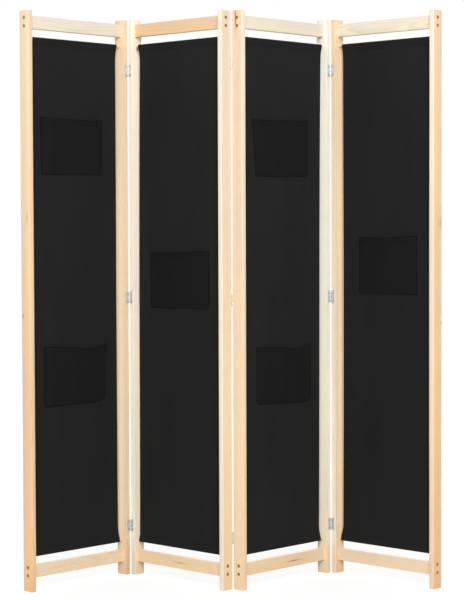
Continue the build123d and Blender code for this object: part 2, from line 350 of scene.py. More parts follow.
# %% Pine recipe
def pine(board, number, lengthwise, pith, seed, tones_and_light, knots=(), shaded_recesses=(), shaded_foot=False):
    """Material of one board. Its own coordinates have z along the length: Object coordinates
    are moved to the board's middle and turned by the panel's turn, and a rail's also by 90
    degrees about y. Ring count = distance from the bent pith / ring width."""
    material, tree, shader = start_material(f"pine of {board}", Roughness=0.56)
    turn = (0, pi / 2 if lengthwise else 0, turns[number])
    inputs = {0: add(tree, "TexCoord").outputs["Object"], 1: middle_of(board), 2: turn}
    place = add(tree, "Mapping", inputs, vector_type="TEXTURE").outputs[0]

    bend = stretched_noise(tree, place, (9, 9, 1.6), seed)["Color"]
    centred = vector(tree, "SUBTRACT", bend, (0.5, 0.5, 0.5))
    bent = vector(tree, "MULTIPLY_ADD", centred, (0.030, 0.030, 0), place)
    radius = away_from(tree, vector(tree, "MULTIPLY", bent, (1, 1, 0)), (*pith, 0))
    hearts, halos = [], []
    for centre, radii, heart in knots:
        off = away_from(tree, place, centre, radii)
        hearts.append(ramp(tree, off, (0.7, heart), (1.15, 0)))
        halo = ramp(tree, maths(tree, "DIVIDE", off, 4), (0.25, 1), (0.8, 0), smooth=True)
        halos.append(maths(tree, "MULTIPLY", halo, 0.2 + 0.3 * heart))
        radius = maths(tree, "MULTIPLY_ADD", halo, 4 * mm, radius)

    count = maths(tree, "DIVIDE", radius, RING_WIDTH)
    drift = stretched_noise(tree, place, (45, 45, 0.8), seed + 5)["Fac"]
    ring = maths(tree, "FRACT", maths(tree, "MULTIPLY_ADD", drift, 1.6, count))
    late = ramp(tree, ring, (0, 0), (0.4, 0.06), (0.82, 0.75), (0.95, 1), (1, 0.05))
    fade = stretched_noise(tree, place, (30, 30, 2.2), seed + 9)["Fac"]
    strength = ramp(tree, fade, (0.3, 0.18), (0.7, 0.62))
    late = maths(tree, "MULTIPLY", late, strength)
    colour = mixed(tree, late, EARLY_WOOD, LATE_WOOD)
    colour = tinted(tree, colour, tone_and_painted_light(tree, place, tones_and_light, shaded_foot))

    slow = stretched_noise(tree, place, (22, 22, 2.6), seed + 14, 1.0)["Fac"]
    tone = ramp(tree, slow, (0.3, (1.03, 1.0, 0.93)), (0.7, (0.97, 0.955, 0.97)))
    colour = tinted(tree, colour, tone)
    fibre = stretched_noise(tree, place, (1500, 1500, 22), seed + 20, 3.0)["Fac"]
    colour = tinted(tree, colour, ramp(tree, fibre, (0.3, 0.90), (0.7, 1.05)))
    for heart, halo in zip(hearts, halos):
        colour = mixed(tree, halo, colour, KNOT_HALO)
        colour = mixed(tree, heart, colour, KNOT_HEART)
    # Painted shade darkens the wood in and round each screw recess
    for shaded_recess in shaded_recesses:
        off = away_from(tree, place, shaded_recess, (RECESS_SHADE_REACH, RECESS_SHADE_REACH, RECESS_SHADE_REACH))
        colour = mixed(tree, ramp(tree, off, (0.64, 0.8), (1, 0)), colour, RECESS_SHADE)

    rough = maths(tree, "MULTIPLY_ADD", late, -0.14, 0.6)
    rough = maths(tree, "MULTIPLY_ADD", fibre, 0.1, rough)
    height = maths(tree, "MULTIPLY_ADD", late, 0.35, maths(tree, "MULTIPLY", fibre, 0.9))
    finish_material(tree, shader, colour, height, 0.35, 0.12 * mm, rough)
    return material


print("pine recipe ready, rings", round(RING_WIDTH / mm, 1), "mm wide")

# %% [markdown]
# ## One pine for each board
# The boards of a screen come out of different trunks: some are near white, some honey coloured,
# and a few show a knot or a red streak. Tints and knots are chosen board by board. Painted light
# goes into the same colours: a deeper tone towards the foot, a front face set apart from the
# sides, and painted shade in the screw recesses and at the feet of the stiles in the valleys.
# The rest comes from a numbered random generator, which gives the same numbers every time.

# %% Tints and knots, board by board
SCREW_OFFSETS = np.array((-12, 12)) * mm


def knot(across, deep, at, size=(3, 3, 5), heart=1.0):
    """A knot in board coordinates, given in millimetres, with its three radii. With a weaker
    heart it is only a stain, where a knot lies under the face."""
    return tuple(np.array((across, deep, at)) * mm), tuple(np.array(size) * mm), heart


# Tints of pine, as factors on the plain wood
SNOW, CREAM, STRAW, WHEAT, HONEY, AMBER = np.array((
    (0.95, 1.17, 1.52),
    (1.00, 1.12, 1.30),
    (1.00, 1.00, 1.00),
    (1.00, 0.95, 0.87),
    (1.00, 0.87, 0.74),
    (1.05, 0.84, 0.67),
))
# Tones of the boards, panel by panel: each board's own tint, with painted light on the stiles. A
# stile has four: foot and head of its sides, then foot and head of its front face; the deeper
# colour towards the foot and the step between front face and sides are painted light.
TONES_AND_PAINTED_LIGHT = {
    "left_stile": (
        (AMBER, STRAW, 0.95 * HONEY, 0.84 * STRAW),
        (1.06 * CREAM, 1.05 * CREAM, 1.12 * SNOW, 1.03 * SNOW),
        (0.96 * STRAW, 0.86 * STRAW, 1.02 * WHEAT, 0.93 * CREAM),
        (1.07 * WHEAT, 0.97 * WHEAT, 1.12 * CREAM, 0.87 * WHEAT),
    ),
    "right_stile": (
        (1.08 * STRAW, 1.00 * WHEAT, 0.92 * WHEAT, 0.83 * STRAW),
        (0.94 * WHEAT, 0.4 * (STRAW + CREAM), 1.12 * CREAM, 1.03 * CREAM),
        (1.08 * CREAM, 1.05 * SNOW, 1.05 * CREAM, 0.97 * SNOW),
        (0.90 * AMBER, 0.92 * WHEAT, 1.06 * WHEAT, 0.99 * CREAM),
    ),
    "bottom_rail": (0.97 * STRAW, 1.07 * WHEAT, 0.98 * WHEAT, 1.04 * STRAW),
    "top_rail": (0.88 * CREAM, 0.97 * HONEY, 0.91 * CREAM, 0.95 * CREAM),
}
KNOTS = {
    "panel_1_left_stile": (knot(-8, -7, 248, (4, 3, 9), 0.1), knot(-8, 12, -40, (3, 2, 3.5), 0.8)),
    "panel_2_left_stile": (knot(8, 2, 762, (3, 3, 6)),),
    "panel_2_bottom_rail": (knot(1, -8, 5, (1.5, 2, 17), 0.4),),
    "panel_3_left_stile": (knot(-8, 5, 828, (3, 2.2, 24)),),
    "panel_3_bottom_rail": (knot(2, -8, 40, (1.2, 2, 22)),),
    "panel_4_right_stile": (knot(8, 13, 230, (4, 4, 9), 0.2), knot(8, 17, -65, (3, 2, 3.5), 0.8)),
}
# Stiles that meet in the valleys of joints 1 and 3: painted shade darkens their feet
SHADED_FEET = ((1, "right_stile"), (2, "left_stile"), (3, "right_stile"), (4, "left_stile"))
print(len(KNOTS), "boards with knots,", len(SHADED_FEET), "with a dark foot")

# %% Materials of the boards
def board_material(index, number, piece):
    """Pith 35 to 95 mm from the board's middle, in a direction drawn at random. In and round the
    recesses for the frame screws in a stile, painted shade darkens the wood."""
    draw = np.random.default_rng(400 + index)
    direction, distance = draw.uniform(0, 2 * pi), draw.uniform(35, 95) * mm
    pith = (distance * cos(direction), distance * sin(direction))
    board = f"panel_{number}_{piece}"
    lengthwise = piece.endswith("rail")
    tones_and_light = TONES_AND_PAINTED_LIGHT[piece][number - 1]
    shaded_recesses = []
    # Places of the screw recesses in a stile, for the painted shade round them
    if not lengthwise:
        outward = -8 * mm if piece == "left_stile" else 8 * mm
        for rail in ("bottom", "top"):
            level = (middle_of(f"panel_{number}_{rail}_rail") - middle_of(board))[2]
            shaded_recesses += [(outward, 0, level + off) for off in SCREW_OFFSETS]
    if lengthwise:
        tones_and_light = (tones_and_light,) * 4
    # Knots, painted shade in and round the screw recesses, and painted shade at a valley foot
    marks_and_shades = KNOTS.get(board, ()), shaded_recesses, (number, piece) in SHADED_FEET
    return pine(board, number, lengthwise, pith, draw.uniform(0, 90), tones_and_light, *marks_and_shades)


pines = {}
for number in PANELS:
    for piece in ("left_stile", "right_stile", "bottom_rail", "top_rail"):
        board = f"panel_{number}_{piece}"
        pines[board] = board_material(len(pines), number, piece)
        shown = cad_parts[board].data.materials
        shown.clear()
        shown.append(pines[board])
print(len(pines), "boards in pine")

# %% [markdown]
# ## Surfaces from grids of points
# Nearly every piece here is a grid: rows of points along the piece, columns of points round it
# or across it. The points come out of a formula as one numpy array, and the faces are always
# the same pattern between neighbours. Modelling by hand would also work, but a formula keeps
# its sizes and can be changed later. Where a row shrinks to one point it makes a pole, and
# merging equal points closes poles and seams.

# %% Mesh helpers
import bmesh


def stacked(*parts):
    """Points as one array, from coordinates that are numbers, rows, columns or whole grids."""
    return np.stack(np.broadcast_arrays(*parts), axis=-1)


def smooth(value):
    """0 below 0, 1 above 1, and 3 v^2 - 2 v^3 between."""
    value = np.clip(value, 0, 1)
    return value * value * (3 - 2 * value)


def grid_faces(copies, rows, columns, wrap=False, keep=True):
    """Four-sided faces between neighbouring points of a grid, for each copy of it. Wrap also
    joins the last column to the first. Keep says, cell by cell, which faces there are."""
    here = np.arange(columns if wrap else columns - 1)
    level = np.arange(rows - 1)[:, None] * columns
    beside = (here + 1) % columns
    corners = (level + here, level + beside, level + columns + beside, level + columns + here)
    cells = np.stack(corners, axis=-1)[np.broadcast_to(keep, (rows - 1, len(here)))]
    return (np.arange(copies)[:, None, None] * rows * columns + cells).reshape(-1, 4)


def joined(grids):
    """Vertices and faces of several grids (points, wrap, keep) with points of shape (rows,
    columns, 3) or (copies, rows, columns, 3)."""
    vertices, faces, count = [], [], 0
    for points, *how in grids:
        points = points.reshape(-1, *points.shape[-3:])
        faces.append(count + grid_faces(*points.shape[:3], *how))
        vertices.append(points.reshape(-1, 3))
        count += len(vertices[-1])
    return np.concatenate(vertices), np.concatenate(faces)


def make_mesh(name, *grids):
    """Mesh from grids. Points that no face uses are left out, equal points are merged, and the
    faces are turned outward."""
    vertices, faces = joined(grids)
    used, faces = np.unique(faces, return_inverse=True)
    mesh = bpy.data.meshes.new(name)
    mesh.from_pydata(vertices[used], [], faces.reshape(-1, 4).tolist())
    shell = bmesh.new()
    shell.from_mesh(mesh)
    bmesh.ops.remove_doubles(shell, verts=shell.verts, dist=1e-6)
    bmesh.ops.recalc_face_normals(shell, faces=shell.faces)
    shell.to_mesh(mesh)
    shell.free()
    return mesh


print("two rows of three points make", len(grid_faces(1, 2, 3)), "faces")

# %% From a mesh to a piece
def modified(mesh, kind, **settings):
    """The mesh after one modifier, which is applied at once."""
    holder = put_in_scene("holder", mesh)
    modifier = holder.modifiers.new(kind.lower(), kind)
    for key, value in settings.items():
        setattr(modifier, key, value)
    view = bpy.context.evaluated_depsgraph_get()
    result = bpy.data.meshes.new_from_object(
        holder.evaluated_get(view), preserve_all_data_layers=True, depsgraph=view
    )
    name = mesh.name
    bpy.data.objects.remove(holder)
    bpy.data.meshes.remove(mesh)
    result.name = name
    return result


def add_piece(mesh, number, material, slot, *replaced, crisp=35):
    """Object for a finished mesh, moved from panel coordinates to where the panel stands, which
    it rides on. Edges that turn by more than the angle crisp stay sharp to the eye."""
    mesh.vertices.foreach_set("co", on_panel(number, vertices_of(mesh)).ravel())
    mesh.update()
    mesh.shade_smooth()
    mesh.set_sharp_from_angle(angle=radians(crisp))
    mesh.materials.clear()
    mesh.materials.append(material)
    piece = put_in_scene(mesh.name, mesh)
    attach(piece, f"panel_{number}")
    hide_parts(*replaced)
    return piece


print("pieces ride on", ", ".join(f"panel_{number}" for number in PANELS))

# %% [markdown]
# ## Shapes that come back
# Three shapes cover the wood and the metal: a board with eased edges, a form turned on a lathe,
# and a way to set such a form into a face, so that screws and the holes for them share one
# function.

# %% Boards, turned forms and how they are set
def board_points(low, high, ease):
    """Closed upright board between two corners. Each row is four quarter circles round corner
    centres that lie an ease inside: centre + reach (cos a, sin a). Near the ends the reach
    follows a quarter circle too, from 0 to the ease, and a pole closes each end."""
    quarter = np.linspace(0, pi / 2, 4)
    angles = (np.arange(4)[:, None] * pi / 2 + quarter).ravel()
    signs = np.array(((1, 1), (-1, 1), (-1, -1), (1, -1))).repeat(4, axis=0)
    centres = (low + high)[:2] / 2 + signs * ((high - low)[:2] / 2 - ease)
    reach = ease * np.sin(quarter)
    rise = ease * (1 - np.cos(quarter))
    reach = np.concatenate((reach, reach[::-1]))[:, None, None]
    heights = np.concatenate((low[2] + rise, high[2] - rise[::-1]))
    rows = centres + reach * stacked(np.cos(angles), np.sin(angles))
    return with_poles(stacked(rows[..., 0], rows[..., 1], heights[:, None]))


def with_poles(points):
    """Grid with one more row at each end, gathered in the middle of the row next to it."""
    first, last = (points[[end]].mean(axis=1, keepdims=True) for end in (0, -1))
    return np.concatenate((first + 0 * points[:1], points, last + 0 * points[:1]))


def turned(profile, sides=32):
    """Form turned round z: each (radius, height) of the profile, in mm, is one row."""
    radius, height = np.array(profile, float).T[:, :, None] * mm
    angles = np.arange(sides) * 2 * pi / sides
    return stacked(radius * np.cos(angles), radius * np.sin(angles), height)


def set_in(points, places, outward, upward=(0, 0, 1)):
    """A copy at each place, with the form's z turned outward and its x upward."""
    axes = np.array((upward, np.cross(outward, upward), outward), float)
    return np.asarray(places)[:, None, None] + points @ axes


LEFT, RIGHT = -1, 1
SIDES = {LEFT: "left", RIGHT: "right"}
stile_low, stile_high = panel_box(1, "panel_1_right_stile")
print("a stile measures", np.round((stile_high - stile_low) / mm, 2), "mm")

# %% [markdown]
# ## Stiles
# A stile is the upright board of a frame, set on edge so that its narrow face looks forward.
# It is bored before assembly: two recesses near each end for the screws of the rails, a blind
# hole for each rod, and pilot holes under the hinges. Round holes in a flat face are awkward as
# a grid, so the board and the bits of the drill are made as separate closed forms, and a
# Boolean modifier takes one from the other, just as the drill does.

# %% Where the holes go
JOINTS = (1, 2, 3)
HINGE_HEIGHTS = np.array((153, 855, 1547)) * mm
FRONT, BACK = -1, 1
KNUCKLE_RADIUS = 2.2 * mm
LEAF_THICKNESS = 1 * mm
SIDE_GAP = 0.75 * mm


def frame_screw_places(number, side, depth):
    """Four places, two at each rail, at a depth below the outer face of a stile."""
    middles = [middle_on(number, rail)[2] for rail in ("bottom_rail", "top_rail")]
    heights = np.add.outer(middles, SCREW_OFFSETS).ravel()
    return stacked(side * (stile_high[0] - depth), 0, heights)


def face_of(joint):
    """Face that the leaves of a joint lie on: odd joints are valleys, even ones ridges."""
    return FRONT if joint % 2 else BACK


def hinged_face(number, side):
    """Face of a stile that carries hinge leaves, or None at the ends of the screen."""
    joint = number if side == RIGHT else number - 1
    return face_of(joint) if joint in JOINTS else None


def pin_places(joint, side):
    """Middles of a joint's pins, seen from the panel that has the joint at this side."""
    deep = face_of(joint) * (stile_high[1] + KNUCKLE_RADIUS)
    return stacked(side * (stile_high[0] + SIDE_GAP), deep, HINGE_HEIGHTS)


def hinge_screw_places(side, face, lift):
    """Two places for each hinge, a lift above the face of the stile."""
    across = side * (stile_high[0] + SIDE_GAP - 7.2 * mm)
    heights = np.add.outer(HINGE_HEIGHTS, SCREW_OFFSETS).ravel()
    return stacked(across, face * (stile_high[1] + lift), heights)


def rod_places(number):
    """Middles of the two rods."""
    return np.array([middle_on(number, rod) for rod in ("bottom_rod", "top_rod")]) * (0, 0, 1)


print("frame screws at", np.round(frame_screw_places(1, RIGHT, 0)[:, 2] / mm, 1), "mm up")

# %% Bored stiles
# Profiles of the bits: radius and height over the face, in mm
RECESS_DEPTH = 3.4
RECESS_BIT = [(0, 1), (4.2, 1), (4.2, -RECESS_DEPTH), (2.0, -RECESS_DEPTH), (2.0, -17.5), (0, -17.5)]
ROD_BIT = [(0, 1), (4.1, 1), (4.1, -8), (0, -8)]
PILOT_BIT = [(0, 1), (1.4, 1), (1.4, -12), (0, -12)]


def stile(number, side):
    """Board with its edges worn by about a millimetre, less the bits set into its faces."""
    name = f"panel_{number}_{SIDES[side]}_stile"
    low, high = panel_box(number, name)
    board = make_mesh(f"bored_{name}", (board_points(low, high, 1.1 * mm), True))
    inner = side * (low[0] if side == RIGHT else -high[0])
    bits = [
        set_in(turned(RECESS_BIT, 40), frame_screw_places(number, side, 0), (side, 0, 0)),
        set_in(turned(ROD_BIT, 40), rod_places(number) + (inner, 0, 0), (-side, 0, 0)),
    ]
    if face := hinged_face(number, side):
        places = hinge_screw_places(side, face, 0)
        bits.append(set_in(turned(PILOT_BIT, 20), places, (0, face, 0)))
    bits = make_mesh("bits", *((bit, True) for bit in bits))
    drill = put_in_scene("drill", bits)
    board = modified(board, "BOOLEAN", object=drill, operation="DIFFERENCE", solver="EXACT")
    bpy.data.objects.remove(drill)
    bpy.data.meshes.remove(bits)
    return add_piece(board, number, pines[name], "pine", name)


stiles = [stile(number, side) for number in PANELS for side in SIDES]
print(len(stiles), "stiles with", sum(len(s.data.polygons) for s in stiles), "faces")

# %% [markdown]
# ## Screws
# The frame screws are pan heads sunk a little below the face of the stile, with a cross recess
# for the driver; the hinge screws are smaller and sit on the leaves. One screw is a polar grid:
# rings of points from the middle of the head outward, down its side and along the shank. The
# recess needs no extra mesh, because it is a depth taken off wherever a point of the head lies
# in one of the two slots of the cross.

# %% Screw shape
def screw_points(head_radius, head_height, shank_radius, length, slot, sides=48):
    """Screw along z, seat at 0, in mm. The head's radius is R sin t and its height h (1 + cos
    t) / 2; inside |x| or |y| < slot / 2, as far as 0.62 R, half the height is taken away."""
    t = np.linspace(0, pi / 2, 13)
    rings = np.column_stack((head_radius * np.sin(t), head_height * (1 + np.cos(t)) / 2))
    below = [(head_radius, 0.08), (head_radius - 0.08, 0), (shank_radius, 0)]
    below += [(shank_radius, 4 - length), (0, -length)]
    points = turned(np.vstack((rings, below)), sides) / mm
    near, far = np.sort(np.abs(points[:13, :, :2]), axis=-1).transpose(2, 0, 1)
    inside = np.clip((slot / 2 - near) / 0.2 + 0.5, 0, 1)
    inside *= np.clip((0.62 * head_radius - far) / 0.5, 0, 1)
    points[:13, :, 2] -= 0.55 * head_height * inside
    return points * mm


frame_screw = screw_points(3.7, 2.2, 1.9, 46, 0.9)
hinge_screw = screw_points(2.5, 0.7, 1.3, 12, 0.7, 32)
print("screws of", frame_screw.shape[:2], "and", hinge_screw.shape[:2], "points")

# %% [markdown]
# ## Zinc and brass
# Bare steel would rust, so the hinges and their screws are zinc plated: a soft grey with a
# slight cloudiness and fine scratches. The frame screws have a yellow passivated coat, which
# looks like dull brass. Both are metals to the shader, so all their colour is in the
# reflection, and a noisy roughness breaks it up. The scratches are noise stretched along z.

# %% Plated metals
def plated(name, colour, roughness, cloud):
    """Metal with cloudy tone, uneven roughness and fine upright scratches."""
    material, tree, shader = start_material(name, Metallic=0.85)
    place = add(tree, "TexCoord").outputs["Object"]
    cloudy = stretched_noise(tree, place, (350, 350, 220), 3.0)["Fac"]
    tone = ramp(tree, cloudy, (0.3, 1 - cloud), (0.7, 1.0))
    scratch = stretched_noise(tree, place, (5200, 5200, 260), 8.0, 3.0)["Fac"]
    uneven = maths(tree, "MULTIPLY_ADD", scratch, 0.22, roughness - 0.11)
    colour = tinted(tree, tone, colour)
    finish_material(tree, shader, colour, scratch, 0.25, 0.03 * mm, uneven)
    return material


zinc = plated("zinc plate of the hinges", (0.69, 0.695, 0.685), 0.5, 0.16)
bright_zinc = plated("zinc plate of the pins", (0.86, 0.865, 0.86), 0.42, 0.08)
screw_zinc = plated("zinc plate of the screws", (0.52, 0.53, 0.54), 0.38, 0.25)
dull_brass = plated("yellow plate of the frame screws", (0.41, 0.25, 0.10), 0.5, 0.35)
print("four plated metals")

# %% Screws in place
def screws_of(number):
    """The eight frame screws of a panel and the screws of its hinge leaves, as two pieces."""
    in_frame, in_leaves = [], []
    for side in SIDES:
        seats = frame_screw_places(number, side, RECESS_DEPTH * mm)
        in_frame.append((set_in(frame_screw, seats, (side, 0, 0)), True))
        if face := hinged_face(number, side):
            places = hinge_screw_places(side, face, LEAF_THICKNESS)
            in_leaves.append((set_in(hinge_screw, places, (0, face, 0)), True))
    for name, grids, material, slot in (
        ("frame_screws", in_frame, dull_brass, "frame_screw"),
        ("hinge_screws", in_leaves, screw_zinc, "hinge_screw"),
    ):
        node = f"panel_{number}_{name}"
        mesh = make_mesh(f"driven_{node}", *grids)
        add_piece(mesh, number, material, slot, node, crisp=50)


for number in PANELS:
    screws_of(number)
print("screws driven in four panels")

# %% [markdown]
# ## Hinges
# Each hinge is two leaves and a pin. A leaf is punched from thin sheet, with notches where the
# other leaf's knuckles go, and the tongues that are left are rolled round the pin. The mesh is
# made the same way: a flat grid with the notch cells left out, each point then carried round
# the pin by its length along the sheet, and Solidify gives the sheet its thickness. Box and
# cylinder stand-ins would miss the rolled edge, which is what says hinge at a glance.

# %% Rolled leaves
LEAF_REACH, LEAF_HEIGHT, PLATE_START = 11.0, 38.0, 2.5
ROLL_RADIUS, CORNER = 1.7, 2.0
LEAVES = {"holding": (-6.408, 6.408), "turning": (-6.258, 6.258)}


def leaf_points(kind):
    """Middle surface of a leaf: x into the panel, y off its face, z up, the pin at 0. In mm,
    u is the length from the free edge. Up to the pin, x = reach - u and y = -roll radius;
    beyond it the sheet turns by (length past the pin) / (roll radius), for 295 degrees. Near
    the free edge the height shrinks along a circle, which rounds the corners."""
    past_pin = np.radians(np.linspace(0, 295, 25)) * ROLL_RADIUS
    u = np.concatenate(((0, 0.15, 0.5, 1.1, CORNER, 5, LEAF_REACH - PLATE_START),
                        LEAF_REACH + past_pin))
    v = np.array((-LEAF_HEIGHT / 2, *LEAVES[kind], LEAF_HEIGHT / 2))
    turn = np.maximum(u - LEAF_REACH, 0) / ROLL_RADIUS
    x = np.maximum(LEAF_REACH - u, 0) - ROLL_RADIUS * np.sin(turn)
    y = -ROLL_RADIUS * np.cos(turn)
    near = np.maximum(CORNER - u, 0)
    half = LEAF_HEIGHT / 2 - CORNER + np.sqrt(CORNER**2 - near**2)
    z = v * (half / (LEAF_HEIGHT / 2))[:, None]
    rolled = u[1:] > LEAF_REACH - PLATE_START + 0.01
    tongue = np.array((True, False, True)) == (kind == "holding")
    return stacked(x[:, None], y[:, None], z) * mm, ~rolled[:, None] | tongue


def leaves(joint, number, side, kind):
    """Three leaves of a joint on one panel, rolled and then thickened by a millimetre."""
    points, keep = leaf_points(kind)
    points = pin_places(joint, side)[:, None, None] + points * (-side, face_of(joint), 1)
    node = f"joint_{joint}_{joint + 1}_leaves_on_panel_{number}"
    mesh = make_mesh(f"rolled_{node}", (points, False, keep))
    mesh = modified(mesh, "SOLIDIFY", thickness=LEAF_THICKNESS, offset=0, use_even_offset=True)
    mesh = modified(mesh, "BEVEL", width=0.12 * mm, segments=2, limit_method="ANGLE",
                    angle_limit=radians(50))
    add_piece(mesh, number, zinc, "hinge_leaf", node)


PIN = [(0, -19), (0.75, -19), (1.02, -18.88), (1.15, -18.6), (1.15, 18.6), (1.02, 18.88),
       (0.75, 19), (0, 19)]


def pins(joint):
    """Three pins, which stay with the leaves that hold them."""
    points = pin_places(joint, RIGHT)[:, None, None] + turned(PIN, 28)
    node = f"joint_{joint}_{joint + 1}_hinge_pins"
    add_piece(make_mesh(f"turned_{node}", (points, True)), joint, bright_zinc, "hinge_pin", node)


for joint in JOINTS:
    leaves(joint, joint, RIGHT, "holding")
    leaves(joint, joint + 1, LEFT, "turning")
    pins(joint)
print("nine hinges rolled")

# %% [markdown]
# ## Rods
# The cloth hangs on a wooden rod and is held down by another. A rod is a round dowel with
# broken end edges, and its ends sit in blind holes. Its grain runs along it, so it takes the
# same pine recipe as a rail, a shade browner.

# %% Rods
ROD = [(0, -191.5), (3.5, -191.5), (4, -191), (4, 191), (3.5, 191.5), (0, 191.5)]
ROD_PITH = (20 * mm, 30 * mm)
for number in PANELS:
    for index, (end, place) in enumerate(zip(("bottom", "top"), rod_places(number))):
        node = f"panel_{number}_{end}_rod"
        mesh = make_mesh(f"turned_{node}", (set_in(turned(ROD, 28), [place], (1, 0, 0)), True))
        dowel = pine(node, number, True, ROD_PITH, 10 * number + index, (0.93 * WHEAT,) * 4)
        add_piece(mesh, number, dowel, "dowel", node)
print("eight rods")

# %% [markdown]
# ## Black cloth
# The cloths are a plain woven synthetic, black with a very faint sheen; the pockets are cut
# from a slightly deeper one. The weave is far too fine to model as threads, so it is a bump of
# two crossed waves, laid along the cloth by its own UV map, which is in metres. The map follows
# the cloth round its rods, where Object coordinates would smear. Two attributes hold each
# point's distance to the nearest line of stitches and to the nearest edge: short dashes along
# such a line become raised thread between small dimples, and painted shade darkens the cloth
# beside the stitches and along the edges.

# %% Fabric recipe
def woven(name, colour, gloss, fuzz, thread, seed):
    """Woven cloth. Height = the larger of two crossed waves, which swap places like threads
    going over and under; colour drifts slowly, and stitches stand on their lines. Painted shade
    darkens the colour beside the stitches, where the cloth puckers, and along the edges."""
    material, tree, shader = start_material(
        name, Roughness=0.92, Sheen_Weight=fuzz, Sheen_Roughness=0.5, Specular_IOR_Level=gloss
    )
    place = add(tree, "UVMap").outputs["UV"]
    x, z, _ = add(tree, "SeparateXYZ", {0: place}).outputs
    turn = 2 * pi / thread
    warp = maths(tree, "SINE", maths(tree, "MULTIPLY", x, turn))
    weft = maths(tree, "SINE", maths(tree, "MULTIPLY", z, turn))
    over = maths(tree, "MULTIPLY", warp, weft)
    weave = maths(tree, "MAXIMUM", over, maths(tree, "MULTIPLY", over, -0.8))

    away = add(tree, "Attribute", attribute_name="stitch").outputs["Fac"]
    line = ramp(tree, maths(tree, "DIVIDE", away, 1 * mm), (0.28, 1), (0.5, 0))
    step = maths(tree, "FRACT", maths(tree, "DIVIDE", maths(tree, "ADD", x, z), 3.2 * mm))
    dash = ramp(tree, maths(tree, "PINGPONG", step, 0.5), (0.10, 0), (0.17, 1))
    thread_height = maths(tree, "MULTIPLY", line, dash)
    # Beside a stitch line the puckering is a bump and, in the colour, painted shade
    pucker_and_shade = ramp(tree, maths(tree, "DIVIDE", away, 4 * mm), (0, 0), (1, 1), smooth=True)

    drift = stretched_noise(tree, place, (16, 3.5, 1), seed, 2.0)["Fac"]
    slub = stretched_noise(tree, place, (900, 30, 1), seed + 4, 2.0)["Fac"]
    tone = maths(tree, "MULTIPLY", ramp(tree, drift, (0.3, 0.9), (0.7, 1.1)),
                 ramp(tree, slub, (0.3, 0.93), (0.7, 1.07)))
    # Painted shade along the edges of the cloth
    rim = add(tree, "Attribute", attribute_name="rim").outputs["Fac"]
    painted_edge_shade = ramp(tree, maths(tree, "DIVIDE", rim, 3 * mm), (0, 0.35), (1, 1), smooth=True)
    shade = maths(tree, "MULTIPLY", maths(tree, "MULTIPLY_ADD", pucker_and_shade, 0.25, 0.75), painted_edge_shade)
    shade = maths(tree, "ADD", shade, maths(tree, "MULTIPLY", thread_height, 0.5))
    tone = maths(tree, "MULTIPLY", tone, shade)

    height = maths(tree, "MULTIPLY_ADD", weave, 0.08, maths(tree, "MULTIPLY", pucker_and_shade, 0.35))
    height = maths(tree, "MULTIPLY_ADD", thread_height, 0.3, height)
    height = maths(tree, "MULTIPLY_ADD", slub, 0.05, height)
    finish_material(tree, shader, tinted(tree, tone, colour), height, 0.5, 1 * mm)
    return material


cloth_black = woven("black cloth", (0.0100, 0.0100, 0.0101), 0.14, 0.03, 0.9 * mm, 2.0)
pocket_black = woven("pocket cloth", (0.0088, 0.0088, 0.0089), 0.08, 0.008, 0.8 * mm, 7.0)
print("two woven blacks")

# %% [markdown]
# ## Cloth as a sheet
# A cloth is one flat piece that goes up from its bottom seam to its top seam and, past each
# seam, round a rod and back on itself. So its rows follow that path and its columns run from
# edge to edge. The free sides are turned back by 7 mm and sewn. The pull between the rods draws
# the sides in, more on one panel than on another. A cloth simulation would have to be stretched
# on the rods to find the same shape, which the known edges give directly.

# %% Sheets from grids
def make_sheet(name, *grids, thickness):
    """Cloth from open grids (points, flat places, distance to stitches, distance to the rim).
    The flat places, in metres, become the UV map, and Solidify closes the sheet."""
    vertices, faces = joined([(points,) for points, *_ in grids])
    places = np.concatenate([flat.reshape(-1, 2) for _, flat, *_ in grids])
    lines = np.concatenate([stacked(*away).reshape(-1, 2) for _, _, *away in grids])
    mesh = bpy.data.meshes.new(name)
    mesh.from_pydata(vertices, [], faces.tolist())
    for key, distances in zip(("stitch", "rim"), lines.T):
        mesh.attributes.new(key, "FLOAT", "POINT").data.foreach_set("value", distances.copy())
    mesh.uv_layers.new(name="flat").data.foreach_set("uv", places[faces.ravel()].ravel())
    return modified(mesh, "SOLIDIFY", thickness=thickness, offset=0, use_even_offset=True)


print("one more helper, for sheets")

# %% Seams and folds
low_rod, high_rod = rod_places(1)[:, 2]
HEM_DEPTH = 18 * mm
SEAMS = (low_rod + HEM_DEPTH, high_rod - HEM_DEPTH)
FOLD_END = 120 * mm


def folds(number, x, z):
    """Soft upright folds: a few waves across the cloth, about half a millimetre deep, that
    fade out towards the two seams."""
    draw = np.random.default_rng(60 + number)
    waves = [
        draw.uniform(0.10, 0.24) * mm
        * np.sin(2 * pi * (x / wide + draw.uniform(-0.25, 0.25) * z + draw.uniform()))
        * (1 + 0.5 * np.sin(2 * pi * (z / draw.uniform(0.7, 1.5) + draw.uniform())))
        for wide in (0.047, 0.066, 0.093, 0.13, 0.21)
    ]
    low, high = SEAMS
    return sum(waves) * smooth(np.minimum(z - low, high - z) / FOLD_END)


print("seams at", np.round(np.array(SEAMS) / mm, 2), "mm")

